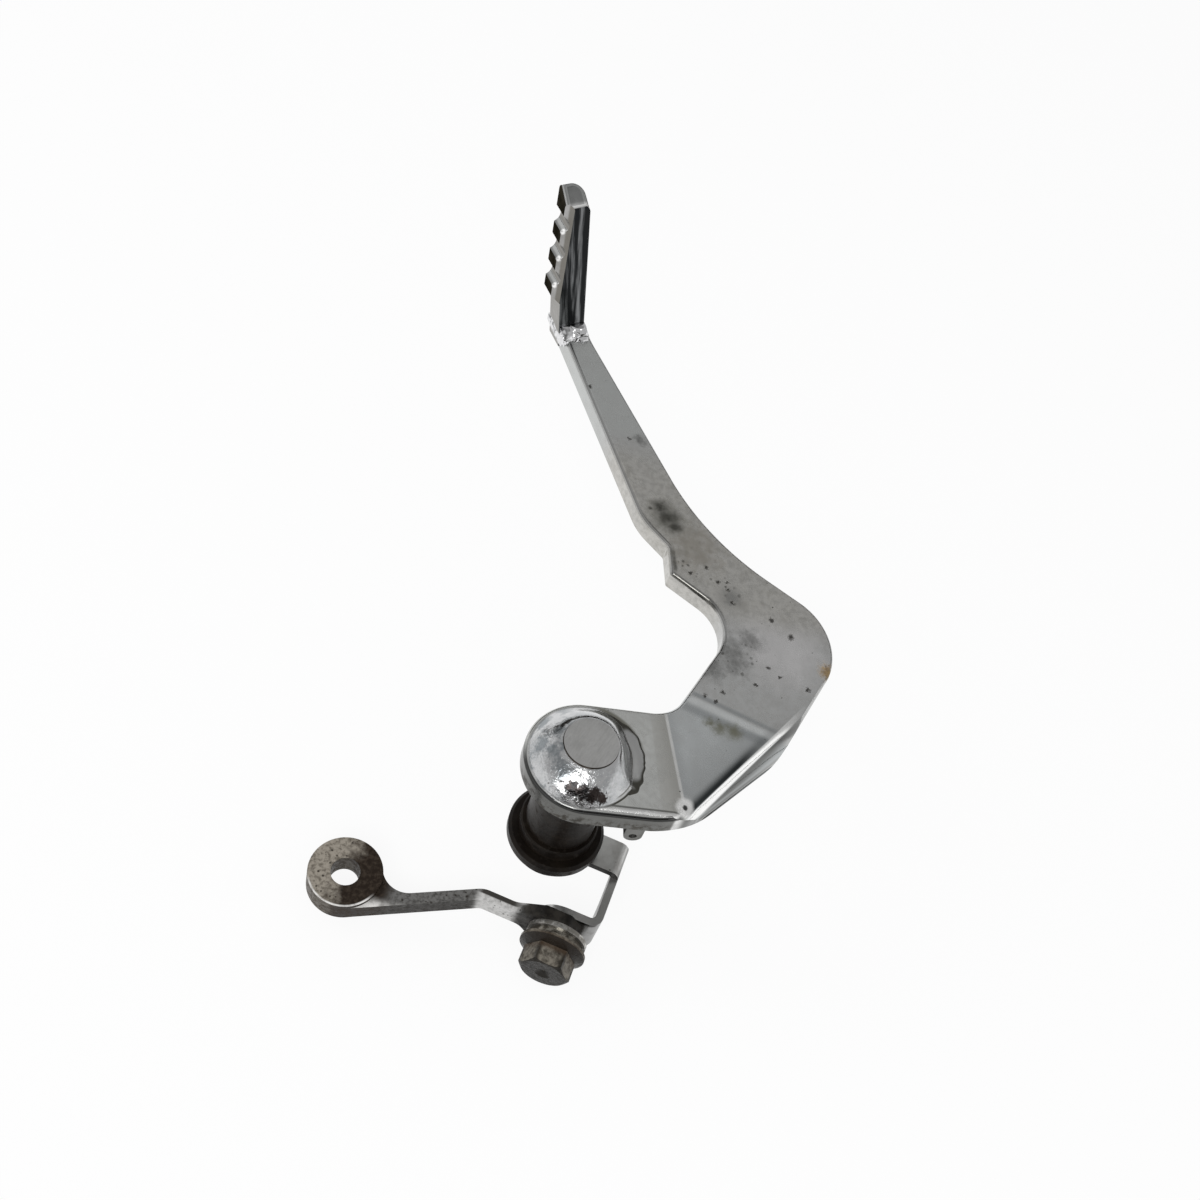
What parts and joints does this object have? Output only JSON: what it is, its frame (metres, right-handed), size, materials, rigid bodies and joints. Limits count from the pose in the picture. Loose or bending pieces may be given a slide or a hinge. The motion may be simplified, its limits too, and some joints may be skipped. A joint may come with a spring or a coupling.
{
  "type": "motorbike rear brake pedal",
  "caption": "Chromed crooked plate pedal with a toothed foot bar, welded on a pivot shaft that turns in a flanged sleeve and works a bolted rod-eye lever.",
  "frame": {"origin": "on the pivot axis, at the outer face of the boss plate", "axes": "+Z along the pivot axis away from the bike, +Y from the pivot towards the foot bar, +X towards the outside of the crook, which is down on the bike"},
  "size_m": [0.1555, 0.2179, 0.1404],
  "materials": {
    "arm_chrome": "worn bright chrome with pits and stains",
    "pad_chrome": "polished chrome",
    "weld_chrome": "plated weld bead",
    "shaft_steel": "ground end, plated",
    "dome_chrome": "plated weld dome",
    "sleeve_steel": "dark greasy steel",
    "washer_steel": "greasy steel",
    "bracket_plated": "bright plated sheet",
    "bracket_bead": "weld bead",
    "lever_steel": "worn dark steel with rust",
    "bolt_steel": "rusty dark plating",
    "washer_plated": "dull plating",
    "washer_dark": "dark spring steel",
    "tab_plated": "plated tab"
  },
  "bodies": {
    "sleeve": {"pivot_sleeve": "sleeve_steel"},
    "pedal": {"pedal_arm": "arm_chrome", "foot_pad": "pad_chrome", "pad_weld": "weld_chrome", "pivot_shaft": "shaft_steel", "pivot_weld": "dome_chrome", "thrust_washer": "washer_steel", "lever_bracket": "bracket_plated", "bracket_weld": "bracket_bead", "eye_lever": "lever_steel", "lever_bolt": "bolt_steel", "plain_washer": "washer_plated", "spring_washer": "washer_dark", "spring_tab": "tab_plated"}
  },
  "joints": [
    {"name": "pedal_pivot", "type": "hinge", "parent": "sleeve", "child": "pedal", "pos_m": [0, 0, 0], "axis": [0, 0, -1], "range_deg": [0, 18]}
  ]
}
